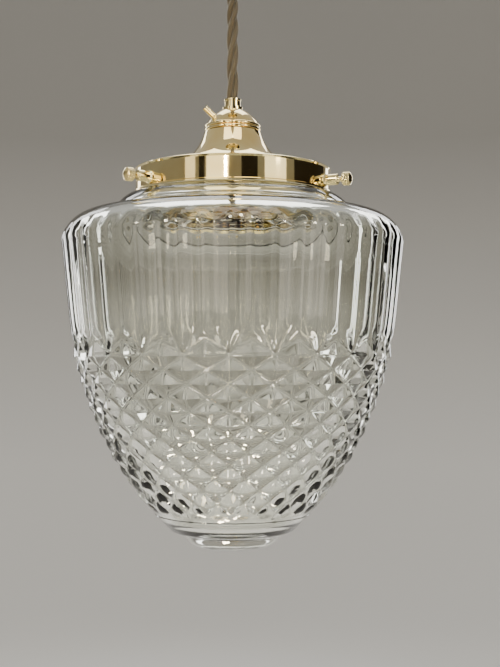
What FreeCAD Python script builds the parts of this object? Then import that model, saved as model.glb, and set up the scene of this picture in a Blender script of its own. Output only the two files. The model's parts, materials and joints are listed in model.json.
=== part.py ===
import FreeCAD, Part
import math
import os
import re
import Sketcher

from FreeCAD import Placement, Rotation, Vector

# Pendant ceiling light: brass ceiling rose, twisted flex, bayonet lampholder, three-screw
# gallery and an acorn-shaped pressed-glass shade. Millimetres, +Z up. The origin is the centre
# of the ceiling plate's top face, so everything hangs below zero.

doc = FreeCAD.newDocument("PendantLight")

# ---- driving dimensions, in millimetres unless the name says degrees or turns ----

sizes = {
    # ceiling plate and rose
    "plateRadius": 31, "plateThick": 1.5, "cableHole": 6, "fixingSpacing": 51, "fixingHole": 2.25,
    "armWidth": 12, "armReach": 41.5, "lugDrop": 13, "coverScrewDepth": 7, "coverScrewHole": 2,
    "coverRadius": 45, "coverWall": 1, "coverSkirt": 12, "coverHeight": 38, "coverTip": 12,
    "coverArc": 36, "rimBead": 1.2, "rimHeight": 1.6, "coverScrewHead": 1.6, "coverScrewDome": 1,
    "coverScrewRoom": 2, "stepGap": 0.2,
    # cord grip on the rose
    "gripShank": 5, "gripCollar": 8.5, "gripBody": 6.8, "gripDrop": 52, "locknutHigh": 3,
    "locknutWide": 9, "gripScrewRadius": 1.5, "gripScrewDepth": 42.5, "gripScrewHead": 8.6,
    "shankRise": 7, "collarHigh": 2.2, "collarStep": 3.4, "collarBend": 1.3, "gripWaist": 0.6,
    "gripRim": 2.2, "gripRimTop": 1.6, "gripEdge": 0.4, "bushRise": 6, "bushGap": 0.6,
    "driverWide": 0.6, "driverDeep": 0.7,
    # terminals in the rose
    "blockRadius": 18, "blockDrop": 11, "postCircle": 12, "postRadius": 2.2, "postFloor": 7,
    "postDrop": 14.5, "postScrew": 1.3, "postScrewDrop": 16.5, "earthPlace": 25, "earthPost": 8,
    "coreStart": 29.4, "coreSpread": 1.8, "coreEnd": 13, "coreGap": 0.3,
    # flex
    "flexRadius": 3.35, "flexLength": 180, "pivotInset": 3, "boreGap": 0.55, "mouthFlare": 1.1,
    "tailGap": 0.35, "tailRise": 8, "lowerTailEnd": 9.8, "coreRadius": 0.9,
    # lampholder cap, depths measured down from the top of its neck
    "lipRadius": 4.8, "lipHigh": 0.9, "neckRadius": 4.5, "neckStart": 1.3, "neckLength": 4.3,
    "collarRadius": 5.7, "collarTop": 4.6, "collarEnd": 6, "domeTop": 6.9, "domeStart": 6.4,
    "domeUnder": 7.8, "domeFoot": 15.2, "domeEnd": 14.4, "domeArc": 24, "beadDepth": 1.9,
    "beadArc": 1.15, "threadRadius": 14.4, "threadTop": 14.7, "bushFlange": 6.3,
    "bushFlangeEnd": 8.8, "earthRadius": 1.7, "earthLength": 10, "earthReach": 9.2,
    "earthDepth": 12.3, "earthTilt": 39, "earthAzimuth": 199, "earthNutWall": 1.1,
    "earthNutHigh": 1.2,
    # lampholder barrel and contacts
    "barrelTop": 14.8, "barrelRadius": 13.9, "barrelEnd": 60, "chamberRadius": 11.6,
    "ledgeDepth": 36, "ledgeRadius": 10, "reliefDepth": 37.5, "reliefRadius": 11.9,
    "socketDepth": 42.5, "socketRadius": 11.2, "slotWide": 2.6, "slotHigh": 9, "slotLeg": 4,
    "insulatorTop": 24, "contactPlace": 5.2, "contactHole": 2.1, "tipHole": 1.65,
    "tipHoleDepth": 35, "plungerCollar": 2.05, "plungerTop": 32, "plungerTip": 1.6,
    "plungerEnd": 42, "springTop": 25.4, "springRadius": 1.6, "wireRadius": 0.22,
    "springPitch": 1.2, "fitGap": 0.05, "contactGap": 0.1, "tipArc": 1.9, "tipDome": 1,
    "terminalTop": 19.5, "terminalSide": 5, "terminalScrew": 1.2, "terminalScrewLong": 2.4,
    "coreBack": 0.6, "coreDrop": 10.4, "coreBite": 0.5, "earthCoreIn": 0.62,
    # gallery: bell, plate, band and shade rings
    "bellTop": 18.6, "bellRadius": 15.8, "bellFoot": 34, "bellArc": 31.5, "bellWall": 0.8,
    "footLip": 1.6, "bellOverlap": 0.4, "plateDepth": 39.8, "galleryRadius": 54,
    "galleryWall": 0.8, "galleryEnd": 53.6,
    "galleryBead": 0.7, "galleryTurn": 1.4, "beadTop": 0.9, "beadFoot": 1.7, "hemTop": 1.2,
    "hemMiddle": 0.7, "cornerArc": 2.2, "plateHole": 14.1, "upperRing": 19, "upperRingHigh": 3.2,
    "lowerRing": 20, "lowerRingHigh": 5.2, "ringChamfer": 2,
    # gallery screws, distances measured outwards from the lamp's axis
    "screwDepth": 48.8, "bossRadius": 3, "bossEnd": 62, "bossFlange": 3.6, "rivetRadius": 2.7,
    "rivetStart": 52.6, "threadBore": 1.8, "screwRadius": 1.75, "spigotRadius": 1,
    "spigotStart": 50.3, "shaftStart": 52.2, "headStart": 64.6, "headEnd": 69, "headRadius": 3.6,
    "flangeHigh": 0.8, "flangeEnd": 1.6, "bossChamfer": 0.4, "headChamfer": 0.5, "headCrown": 0.8,
    "headDome": 0.8, "domeSpot": 1, "crownArc": 4.6, "padStart": 48.8, "padEnd": 52.1,
    "padFloor": 50.2, "padBore": 1.05, "padChamfer": 0.5,
    # glass shade
    "lipTop": 43, "lipOut": 51.5, "lipEnd": 46.5, "neckOut": 48.5, "neckEnd": 52.6,
    "throat": 54, "throatDepth": 53.9, "kinkRadius": 65.2, "kinkDepth": 62, "kinkArc": 16,
    "shoulderRadius": 77.5, "shoulderDepth": 65, "shoulderArc": 19, "widest": 94.5,
    "widestDepth": 81, "fluteRadius": 90.2, "fluteEnd": 122, "acornArc": 203, "acornRadius": 38.9,
    "acornDepth": 234.5, "hemRadius": 34.3, "hemDepth": 239.3, "knobRadius": 27, "knobDepth": 242,
    "knobFoot": 17, "knobFootDepth": 248.6, "buttonRadius": 9, "shadeEnd": 249.6,
    "knobArc": 14, "glassWall": 4.4, "innerNeck": 44.5, "innerNeckEnd": 55.6, "innerThroat": 52.4,
    "innerKink": 62.5, "innerFloor": 237, "innerMiddle": 239.5, "innerFloorRadius": 27, "innerFloorArc": 200,
}

sheet = doc.addObject("Spreadsheet::Sheet", "Sizes")
for row, (alias, number) in enumerate(sizes.items(), start=1):
    sheet.set(f"A{row}", alias)
    sheet.set(f"B{row}", str(number))
    sheet.setAlias(f"B{row}", alias)
doc.recompute()


def bound(expression):
    """The expression with each alias read from the sheet."""
    return re.sub(r"(?<![\w.])(?!(?:cos|sin|sqrt)\b)([A-Za-z]\w+)", r"Sizes.\1", str(expression))


def size(expression):
    """The number that an expression of aliases gives."""
    return float(sheet.evalExpression(bound(expression)))


def label(thing, name):
    thing.Label = name
    return thing


def place(thing, position=(0, 0, 0), rotation=None):
    thing.Placement = Placement(Vector(*position), rotation or Rotation())
    return thing


# Everything on the lamp is drawn from the top of the lampholder's neck, which hangs here.
lampTop = -size("gripDrop + flexLength")


# ---- builders ----

def turned(name, outline, arcs=None, drop=0.0):
    """A body turned about Z. The outline lists (radius, depth) expressions in order, and arcs
    gives the radius of the edge that leaves a corner: positive curves left, negative right."""
    arcs = arcs or {}
    body = doc.addObject("PartDesign::Body", name.title().replace("_", ""))
    sketch = body.newObject("Sketcher::SketchObject", body.Name + "Outline")
    plane = next(p for p in body.Origin.OriginFeatures if p.Role == "XZ_Plane")
    sketch.AttachmentSupport = [(plane, "")]
    sketch.MapMode = "FlatFace"
    corners = [Vector(size(radius), -size(depth), 0) for radius, depth in outline]
    starts, ends = [], []
    for index, corner in enumerate(corners):
        target = corners[(index + 1) % len(corners)]
        if index in arcs:
            bend = size(arcs[index])
            chord = target - corner
            across = Vector(-chord.y, chord.x, 0).normalize()
            rise = math.sqrt(bend ** 2 - (chord.Length / 2) ** 2)
            centre = (corner + target) * 0.5 + across * math.copysign(rise, bend)
            first, last = (corner, target) if bend > 0 else (target, corner)
            angles = [math.atan2(p.y - centre.y, p.x - centre.x) for p in (first, last)]
            circle = Part.Circle(centre, Vector(0, 0, 1), abs(bend))
            sketch.addGeometry(Part.ArcOfCircle(circle, *angles), False)
            starts.append(1 if bend > 0 else 2)
            ends.append(2 if bend > 0 else 1)
        else:
            sketch.addGeometry(Part.LineSegment(corner, target), False)
            starts.append(1)
            ends.append(2)
    for index in range(len(corners)):
        following = (index + 1) % len(corners)
        sketch.addConstraint(Sketcher.Constraint(
            "Coincident", index, ends[index], following, starts[following]))
    for index, (radius, depth) in enumerate(outline):
        point = (index, starts[index])
        if radius == "0":
            sketch.addConstraint(Sketcher.Constraint("PointOnObject", *point, -2))
        else:
            across = sketch.addConstraint(Sketcher.Constraint(
                "DistanceX", -1, 1, *point, corners[index].x))
            sketch.setExpression(f"Constraints[{across}]", bound(radius))
        down = sketch.addConstraint(Sketcher.Constraint(
            "DistanceY", -1, 1, *point, corners[index].y))
        sketch.setExpression(f"Constraints[{down}]", f"-({bound(depth)})")
        if index in arcs:
            bend = sketch.addConstraint(Sketcher.Constraint(
                "Radius", index, abs(size(arcs[index]))))
            sketch.setExpression(f"Constraints[{bend}]", f"abs({bound(arcs[index])})")
    solid = body.newObject("PartDesign::Revolution", body.Name + "Turned")
    solid.Profile = sketch
    solid.ReferenceAxis = (sketch, ["V_Axis"])
    solid.Angle = 360
    body.Tip = solid
    label(body, name)
    return place(body, (0, 0, drop))


def cylinder(name, radius, height, position=(0, 0, 0), rotation=None):
    rod = doc.addObject("Part::Cylinder", name.title().replace("_", ""))
    rod.setExpression("Radius", bound(radius))
    rod.setExpression("Height", bound(height))
    return place(label(rod, name), position, rotation)


def box(name, length, width, height, position, rotation=None):
    """A box whose sizes are expressions and whose position is its lowest corner."""
    block = doc.addObject("Part::Box", name.title().replace("_", ""))
    block.setExpression("Length", bound(length))
    block.setExpression("Width", bound(width))
    block.setExpression("Height", bound(height))
    return place(label(block, name), position, rotation)


def fused(name, pieces):
    whole = doc.addObject("Part::MultiFuse", name.title().replace("_", ""))
    whole.Shapes = pieces
    return label(whole, name)


def without(name, base, tools):
    """The base with every tool cut out of it."""
    cutter = tools[0] if len(tools) == 1 else fused(name + "_cutter", tools)
    cut = doc.addObject("Part::Cut", name.title().replace("_", ""))
    cut.Base, cut.Tool = base, cutter
    return label(cut, name)


def group(name, pieces):
    """Separate solids of one kind, kept together under one name."""
    bundle = doc.addObject("Part::Compound", name.title().replace("_", ""))
    bundle.Links = pieces
    return label(bundle, name)


def towards(direction):
    return Rotation(Vector(0, 0, 1), Vector(*direction))


def core(name, start, end):
    """A short straight insulated core from one point to another."""
    run = Vector(*end) - Vector(*start)
    wire = cylinder(name, "coreRadius", "coreRadius", start, towards(run))
    wire.setExpression("Height", None)
    wire.Height = run.Length
    return wire


def around(angle, distance, height=0.0):
    turn = math.radians(angle)
    return (distance * math.cos(turn), distance * math.sin(turn), height)


# ---- ceiling plate and rose cover ----

def ceilingPlate():
    disc = cylinder("plate_disc", "plateRadius", "plateThick", (0, 0, -size("plateThick")))
    arm = box("plate_arm", "armWidth", "2 * armReach", "plateThick",
              (-size("armWidth") / 2, -size("armReach"), -size("plateThick")))
    lugs = [box(f"plate_lug_{side}", "armWidth", "plateThick", "lugDrop",
                (-size("armWidth") / 2, low, -size("lugDrop")))
            for side, low in (("front", -size("armReach")),
                              ("back", size("armReach - plateThick")))]
    through = size("plateThick") + 1
    holes = [cylinder(f"fixing_hole_{side}", "fixingHole", "plateThick + 2",
                      (x, 0, -through)) for side, x in (("left", -size("fixingSpacing") / 2),
                                                        ("right", size("fixingSpacing") / 2))]
    holes.append(cylinder("cable_hole", "cableHole", "plateThick + 2", (0, 0, -through)))
    holes.append(cylinder("lug_holes", "postScrew", "2 * armReach + 2",
                          (0, -size("armReach") - 1, -size("coverScrewDepth")),
                          towards((0, 1, 0))))
    return without("ceiling_plate", fused("ceiling_plate_blank", [disc, arm, *lugs]), holes)


def roseCover():
    shell = turned("rose_cover_shell", [
        ("coverRadius - coverWall", "0"), ("coverRadius + rimBead", "0"),
        ("coverRadius + rimBead", "rimHeight"), ("coverRadius", "rimHeight + rimBead"),
        ("coverRadius", "coverSkirt"), ("coverTip", "coverHeight - coverWall"),
        ("coverTip", "coverHeight"), ("gripShank + stepGap", "coverHeight"),
        ("gripShank + stepGap", "coverHeight - coverWall"),
        ("coverTip - coverWall", "coverHeight - coverWall"),
        ("coverTip - coverWall", "coverHeight - 2 * coverWall"),
        ("coverRadius - coverWall", "coverSkirt"),
    ], {4: "-coverArc", 10: "coverArc - coverWall"})
    hole = cylinder("cover_screw_holes", "coverScrewHole", "2 * coverRadius + 8",
                    (0, -size("coverRadius") - 4, -size("coverScrewDepth")), towards((0, 1, 0)))
    return without("rose_cover", shell, [hole])


def coverScrews():
    screws = []
    for side, direction in (("front", -1), ("back", 1)):
        screw = turned(f"cover_screw_{side}", [
            ("0", "-(armReach - plateThick - coverScrewRoom)"),
            ("postScrew", "-(armReach - plateThick - coverScrewRoom)"),
            ("postScrew", "-coverRadius"), ("headRadius", "-coverRadius"),
            ("headRadius", "-(coverRadius + coverScrewHead)"),
            ("domeSpot", "-(coverRadius + coverScrewHead + coverScrewDome)"),
            ("0", "-(coverRadius + coverScrewHead + coverScrewDome)"),
        ], {4: "crownArc"})
        screws.append(place(screw, (0, 0, -size("coverScrewDepth")), towards((0, direction, 0))))
    return group("cover_screws", screws)


# ---- cord grip on the rose ----

def ceilingCordGrip():
    body = turned("ceiling_grip_body", [
        ("flexRadius + boreGap", "coverHeight - shankRise"),
        ("gripShank", "coverHeight - shankRise"), ("gripShank", "coverHeight"),
        ("gripCollar", "coverHeight"), ("gripCollar", "coverHeight + collarHigh"),
        ("gripBody", "coverHeight + collarStep"), ("gripBody - gripWaist", "gripDrop - gripRim"),
        ("gripBody", "gripDrop - gripRimTop"), ("gripBody", "gripDrop - gripEdge"),
        ("gripBody - gripEdge", "gripDrop"), ("flexRadius + mouthFlare", "gripDrop"),
        ("flexRadius + boreGap", "gripDrop - pivotInset"),
    ], {3: "-collarBend"})
    hole = cylinder("grip_screw_hole", "gripScrewRadius", "gripScrewHead",
                    (0, 0, -size("gripScrewDepth")), towards((1, 0, 0)))
    return without("ceiling_cord_grip", body, [hole])


def ceilingLocknut():
    prism = doc.addObject("Part::Prism", "LocknutPrism")
    prism.Polygon = 6
    prism.setExpression("Circumradius", bound("locknutWide"))
    prism.setExpression("Height", bound("locknutHigh"))
    place(prism, (0, 0, -size("coverHeight - coverWall")))
    hole = cylinder("locknut_hole", "gripShank", "locknutHigh + 2",
                    (0, 0, -size("coverHeight - coverWall") - 1))
    return without("ceiling_grip_locknut", prism, [hole])


def ceilingGripScrew():
    start = size("flexRadius + boreGap")
    rod = cylinder("grip_screw_rod", "gripScrewRadius", "gripScrewHead - flexRadius - boreGap",
                   (start, 0, -size("gripScrewDepth")), towards((1, 0, 0)))
    slot = box("grip_screw_slot", "2 * driverDeep", "4 * gripScrewRadius", "driverWide",
               (size("gripScrewHead - driverDeep"), -2 * size("gripScrewRadius"),
                -size("gripScrewDepth + driverWide / 2")))
    return without("ceiling_grip_screw", rod, [slot])


def ceilingGripBush():
    return turned("ceiling_grip_bush", [
        ("flexRadius", "coverHeight - bushRise"), ("flexRadius + boreGap", "coverHeight - bushRise"),
        ("flexRadius + boreGap", "gripDrop - pivotInset - flexRadius - bushGap"),
        ("flexRadius", "gripDrop - pivotInset - flexRadius - bushGap")])


# ---- terminals and cores in the rose ----

postAngles = (30, 150, 270)


def terminalBlock():
    depth = size("blockDrop - plateThick")
    disc = cylinder("block_disc", "blockRadius", "blockDrop - plateThick",
                    (0, 0, -size("blockDrop")))
    holes = [cylinder(f"block_hole_{number}", "postRadius", "blockDrop - postFloor + 1",
                      around(angle, size("postCircle"), -size("blockDrop") - 1))
             for number, angle in enumerate(postAngles, start=1)]
    holes.append(cylinder("block_cable_hole", "cableHole", "blockDrop - plateThick + 2",
                          (0, 0, -size("plateThick") - depth - 1)))
    return without("rose_terminal_block", disc, holes)


def terminalPosts():
    return group("rose_terminal_posts", [
        cylinder(f"rose_post_{number}", "postRadius", "postDrop - postFloor",
                 around(angle, size("postCircle"), -size("postDrop")))
        for number, angle in enumerate(postAngles, start=1)])


def terminalScrews():
    screws = []
    for number, angle in enumerate(postAngles, start=1):
        rod = cylinder(f"post_screw_rod_{number}", "postScrew", "postScrewDrop - postDrop",
                       around(angle, size("postCircle"), -size("postScrewDrop")))
        x, y, _ = around(angle, size("postCircle"))
        slot = box(f"post_screw_slot_{number}", "4 * postScrew", "driverWide", "driverDeep",
                   (x - 2 * size("postScrew"), y - size("driverWide") / 2, -size("postScrewDrop")))
        screws.append(without(f"post_screw_{number}", rod, [slot]))
    return group("rose_terminal_screws", screws)


def roseEarthTerminal():
    low = -size("plateThick + earthPost")
    post = cylinder("earth_post", "postRadius", "earthPost", (0, size("earthPlace"), low))
    screw = cylinder("earth_post_screw", "postScrew", "2", (0, size("earthPlace"), low - 2))
    return fused("rose_earth_terminal", [post, screw])


def roseCores():
    spread, start, end = size("coreSpread"), -size("coreStart"), -size("coreEnd")
    reach = size("postCircle - postRadius - coreRadius - coreGap")
    live = core("rose_live_core", around(30, spread, start), around(30, reach, end))
    neutral = core("rose_neutral_core", around(150, spread, start), around(150, reach, end))
    earthReach = size("earthPlace - postRadius - coreRadius - coreGap")
    earth = core("rose_earth_core", around(90, spread, start),
                 around(90, earthReach, -size("earthPost + 1")))
    return [live, neutral, earth]


# ---- flex: the part that hangs free, and the ends held in the two grips ----

def flex():
    """A straight run with round ends, each round end centred on the point it swings about."""
    top, bottom = size("gripDrop - pivotInset"), size("gripDrop + flexLength + pivotInset")
    run = cylinder("flex_run", "flexRadius", "flexLength + 2 * pivotInset", (0, 0, -bottom))
    ends = []
    for end, depth in (("top", top), ("bottom", bottom)):
        ball = doc.addObject("Part::Sphere", f"FlexBall{end.title()}")
        ball.setExpression("Radius", bound("flexRadius"))
        ends.append(place(ball, (0, 0, -depth)))
    return fused("flex", [run, *ends])


def flexTails():
    upper = turned("flex_upper_tail", [
        ("0", "coverHeight - tailRise"), ("flexRadius", "coverHeight - tailRise"),
        ("flexRadius", "gripDrop - pivotInset - flexRadius - tailGap"),
        ("0", "gripDrop - pivotInset - flexRadius - tailGap")])
    lower = turned("flex_lower_tail", [
        ("0", "pivotInset + flexRadius + tailGap"),
        ("flexRadius", "pivotInset + flexRadius + tailGap"),
        ("flexRadius", "lowerTailEnd"), ("0", "lowerTailEnd")], drop=lampTop)
    return [upper, lower]


# ---- lampholder ----

def earthAxis():
    """Where the inclined earth screw starts inside the dome, and the way it points."""
    tilt, turn = math.radians(size("earthTilt")), math.radians(size("earthAzimuth"))
    level = size("earthReach")
    start = (level * math.cos(turn), level * math.sin(turn), lampTop - size("earthDepth"))
    way = (math.cos(tilt) * math.cos(turn), math.cos(tilt) * math.sin(turn), math.sin(tilt))
    return start, way


def lampholderCap():
    shell = turned("cap_shell", [
        ("flexRadius + mouthFlare", "0"), ("lipRadius", "0"), ("lipRadius", "lipHigh"),
        ("neckRadius", "neckStart"), ("neckRadius", "neckLength"), ("collarRadius", "collarTop"),
        ("collarRadius", "collarEnd"), ("domeTop", "domeStart"), ("domeFoot", "domeEnd"),
        ("domeFoot", "domeEnd + beadDepth"), ("domeFoot", "domeEnd + 2 * beadDepth"),
        ("threadRadius", "domeEnd + 2 * beadDepth"), ("threadRadius", "threadTop"),
        ("domeTop", "domeUnder"), ("flexRadius + boreGap", "domeUnder"),
        ("flexRadius + boreGap", "pivotInset"),
    ], {7: "-domeArc", 8: "-beadArc", 9: "-beadArc", 12: "domeArc"}, lampTop)
    start, way = earthAxis()
    hole = cylinder("earth_screw_hole", "earthRadius", "earthLength", start, towards(way))
    return without("lampholder_cap", shell, [hole])


def neckBush():
    return turned("neck_bush", [
        ("flexRadius", "pivotInset + flexRadius + tailGap"),
        ("flexRadius + boreGap", "pivotInset + flexRadius + tailGap"),
        ("flexRadius + boreGap", "domeUnder"), ("bushFlange", "domeUnder"),
        ("bushFlange", "bushFlangeEnd"), ("flexRadius", "bushFlangeEnd")], drop=lampTop)


def earthScrew():
    start, way = earthAxis()
    rod = cylinder("earth_screw_rod", "earthRadius", "earthLength", start, towards(way))
    tip = Vector(*start) + Vector(*way) * size("earthLength")
    slot = box("earth_screw_slot", "driverWide", "4 * earthRadius", "2 * driverDeep", (0, 0, 0))
    turn = towards(way)
    corner = Vector(-size("driverWide") / 2, -2 * size("earthRadius"), -size("driverDeep"))
    slot.Placement = Placement(tip + turn.multVec(corner), turn)
    return without("earth_terminal_screw", rod, [slot])


def earthNut():
    start, way = earthAxis()
    ring = cylinder("earth_nut_blank", "earthRadius + earthNutWall", "earthNutHigh", start,
                    towards(way))
    hole = cylinder("earth_nut_hole", "earthRadius", "earthNutHigh + 2",
                    Vector(*start) - Vector(*way), towards(way))
    return without("earth_terminal_nut", ring, [hole])


def lampholderBarrel():
    tube = turned("barrel_tube", [
        ("chamberRadius", "barrelTop"), ("threadRadius - fitGap", "barrelTop"),
        ("threadRadius - fitGap", "domeEnd + 2 * beadDepth"),
        ("barrelRadius", "domeEnd + 2 * beadDepth + stepGap"), ("barrelRadius", "barrelEnd"),
        ("socketRadius", "barrelEnd"), ("socketRadius", "socketDepth"),
        ("reliefRadius", "socketDepth"), ("reliefRadius", "reliefDepth"),
        ("ledgeRadius", "reliefDepth"), ("ledgeRadius", "ledgeDepth"),
        ("chamberRadius", "ledgeDepth"),
    ], drop=lampTop)
    bottom = lampTop - size("barrelEnd")
    reach = size("barrelRadius") + 1
    slots = []
    for side, way in (("left", -1), ("right", 1)):
        low = -reach if way < 0 else size("socketRadius") - 1
        half = size("slotWide") / 2
        slots.append(box(f"slot_rise_{side}", "barrelRadius - socketRadius + 2", "slotWide",
                         "slotHigh + 1", (low, -half, bottom - 1)))
        slots.append(box(f"slot_leg_{side}", "barrelRadius - socketRadius + 2",
                         "slotWide / 2 + slotLeg", "slotWide",
                         (low, 0 if way > 0 else -half - size("slotLeg"),
                          bottom + size("slotHigh - slotWide"))))
    return without("lampholder_barrel", tube, slots)


contactSides = (("left", -1), ("right", 1))


def contactInsulator():
    disc = cylinder("insulator_disc", "chamberRadius - contactGap", "ledgeDepth - insulatorTop",
                    (0, 0, lampTop - size("ledgeDepth")))
    holes = []
    for side, way in contactSides:
        x = way * size("contactPlace")
        holes.append(cylinder(f"contact_hole_{side}", "contactHole",
                              "tipHoleDepth - insulatorTop + 1",
                              (x, 0, lampTop - size("tipHoleDepth"))))
        holes.append(cylinder(f"tip_hole_{side}", "tipHole", "3",
                              (x, 0, lampTop - size("ledgeDepth") - 1)))
    return without("contact_insulator", disc, holes)


def plungers():
    return [place(turned(f"contact_plunger_{side}", [
        ("0", "plungerTop"), ("plungerCollar", "plungerTop"),
        ("plungerCollar", "tipHoleDepth - contactGap"), ("plungerTip", "tipHoleDepth - contactGap"),
        ("plungerTip", "plungerEnd - tipDome"), ("0", "plungerEnd"),
    ], {4: "-tipArc"}), (way * size("contactPlace"), 0, lampTop))
        for side, way in contactSides]


def springs():
    """Round wire coiled between each terminal and the collar of its plunger."""
    coils = []
    for side, way in contactSides:
        rise = size("plungerTop - springTop - 2 * wireRadius - 2 * fitGap")
        helix = Part.makeHelix(size("springPitch"), rise, size("springRadius"))
        at = Vector(size("springRadius"), 0, 0)
        wire = Part.Wire(Part.makeCircle(size("wireRadius"), at, Vector(0, 1, 0)))
        spring = doc.addObject("Part::Feature", f"PlungerSpring{side.title()}")
        spring.Shape = Part.Wire(helix.Edges).makePipeShell([wire], True, True)
        low = lampTop - size("plungerTop - wireRadius - fitGap")
        coils.append(place(label(spring, f"plunger_spring_{side}"),
                           (way * size("contactPlace"), 0, low)))
    return coils


def contactTerminals():
    blocks = []
    for side, way in contactSides:
        x = way * size("contactPlace")
        half = size("terminalSide") / 2
        block = box(f"terminal_block_{side}", "terminalSide", "terminalSide",
                    "insulatorTop - terminalTop", (x - half, -half, lampTop - size("insulatorTop")))
        plug = cylinder(f"terminal_plug_{side}", "contactHole - contactGap",
                        "springTop - insulatorTop",
                        (x, 0, lampTop - size("springTop")))
        blocks.append(fused(f"terminal_{side}", [block, plug]))
    return blocks


def contactTerminalScrews():
    half = size("terminalSide") / 2
    middle = lampTop - size("(terminalTop + insulatorTop) / 2")
    return group("terminal_screws", [
        cylinder(f"terminal_screw_{side}", "terminalScrew", "terminalScrewLong",
                 (way * size("contactPlace"), -half, middle), towards((0, -1, 0)))
        for side, way in contactSides])


def lampholderCores():
    top, low = lampTop - size("coreDrop"), lampTop - size("terminalTop - coreBite")
    side, back, place = size("coreSpread"), size("coreBack"), size("contactPlace")
    live = core("live_core", (-side, back, top), (-place, back, low))
    neutral = core("neutral_core", (side, back, top), (place, back, low))
    start, _ = earthAxis()
    inner = Vector(*start) * size("earthCoreIn")
    earth = core("earth_core", (-side / 2, -side, top - back),
                 (inner.x, inner.y, start[2] - size("coreRadius")))
    return [live, neutral, earth]


# ---- gallery ----

def galleryBell():
    return turned("gallery_bell", [
        ("bellRadius - bellWall", "bellTop"), ("bellRadius", "bellTop"),
        ("bellFoot", "plateDepth - bellWall"), ("bellFoot + footLip", "plateDepth - bellWall"),
        ("bellFoot + footLip", "plateDepth"), ("bellFoot - bellOverlap", "plateDepth"),
    ], {1: "bellArc", 5: "-(bellArc + bellWall)"}, lampTop)


def galleryRing():
    ring = turned("gallery_blank", [
        ("plateHole", "plateDepth"), ("galleryRadius - galleryTurn", "plateDepth"),
        ("galleryRadius + galleryBead", "plateDepth + beadTop"),
        ("galleryRadius", "plateDepth + beadFoot"), ("galleryRadius", "galleryEnd - hemTop"),
        ("galleryRadius + galleryBead", "galleryEnd - hemMiddle"),
        ("galleryRadius + galleryBead / 2", "galleryEnd"),
        ("galleryRadius - galleryWall", "galleryEnd"),
        ("galleryRadius - galleryWall", "plateDepth + galleryWall"),
        ("plateHole", "plateDepth + galleryWall"),
    ], {1: "-cornerArc"}, lampTop)
    holes = [cylinder(f"rivet_hole_{side}", "rivetRadius", "10 * galleryWall",
                      around(angle, size("galleryRadius - 5 * galleryWall"),
                             lampTop - size("screwDepth")),
                      towards(around(angle, 1))) for side, angle in screwSides]
    return without("gallery_ring", ring, holes)


def shadeRings():
    upper = turned("upper_shade_ring", [
        ("barrelRadius", "plateDepth - upperRingHigh"), ("upperRing", "plateDepth - upperRingHigh"),
        ("upperRing", "plateDepth"), ("barrelRadius", "plateDepth")], drop=lampTop)
    lower = turned("lower_shade_ring", [
        ("barrelRadius", "plateDepth + galleryWall"), ("lowerRing", "plateDepth + galleryWall"),
        ("lowerRing", "plateDepth + galleryWall + lowerRingHigh - ringChamfer / 2"),
        ("lowerRing - ringChamfer", "plateDepth + galleryWall + lowerRingHigh"),
        ("barrelRadius", "plateDepth + galleryWall + lowerRingHigh")], drop=lampTop)
    return [upper, lower]


# ---- gallery screws: a boss, a screw and the soft pad on the screw's end, three times ----

screwSides = (("back", 90), ("left", 210), ("right", 330))


def radial(thing, angle):
    """Turn a part drawn about Z so that its axis runs outwards from the lamp's axis."""
    return place(thing, (0, 0, lampTop - size("screwDepth")), towards(around(angle, 1)))


def galleryBosses():
    bosses = []
    for side, angle in screwSides:
        boss = turned(f"gallery_boss_{side}", [
            ("threadBore", "-rivetStart"), ("rivetRadius", "-rivetStart"),
            ("rivetRadius", "-galleryRadius"), ("bossFlange", "-galleryRadius"),
            ("bossFlange", "-(galleryRadius + flangeHigh)"),
            ("bossRadius", "-(galleryRadius + flangeEnd)"),
            ("bossRadius", "-(bossEnd - bossChamfer)"), ("bossRadius - bossChamfer", "-bossEnd"),
            ("threadBore", "-bossEnd")])
        bosses.append(radial(boss, angle))
    return group("gallery_bosses", bosses)


def galleryScrews():
    screws = []
    for side, angle in screwSides:
        screw = turned(f"gallery_screw_{side}", [
            ("0", "-spigotStart"), ("spigotRadius", "-spigotStart"),
            ("spigotRadius", "-shaftStart"), ("screwRadius", "-shaftStart"),
            ("screwRadius", "-headStart"), ("headRadius - headChamfer", "-headStart"),
            ("headRadius", "-(headStart + headChamfer)"),
            ("headRadius", "-(headEnd - headChamfer)"), ("headRadius - headCrown", "-headEnd"),
            ("domeSpot", "-(headEnd + headDome)"), ("0", "-(headEnd + headDome)"),
        ], {8: "crownArc"})
        screws.append(radial(screw, angle))
    return screws


def screwPads():
    pads = []
    for side, angle in screwSides:
        pad = turned(f"screw_pad_{side}", [
            ("0", "-padStart"), ("screwRadius - padChamfer", "-padStart"),
            ("screwRadius", "-(padStart + padChamfer)"), ("screwRadius", "-padEnd"),
            ("padBore", "-padEnd"), ("padBore", "-padFloor"), ("0", "-padFloor")])
        pads.append(radial(pad, angle))
    return pads


# ---- glass shade ----

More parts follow.
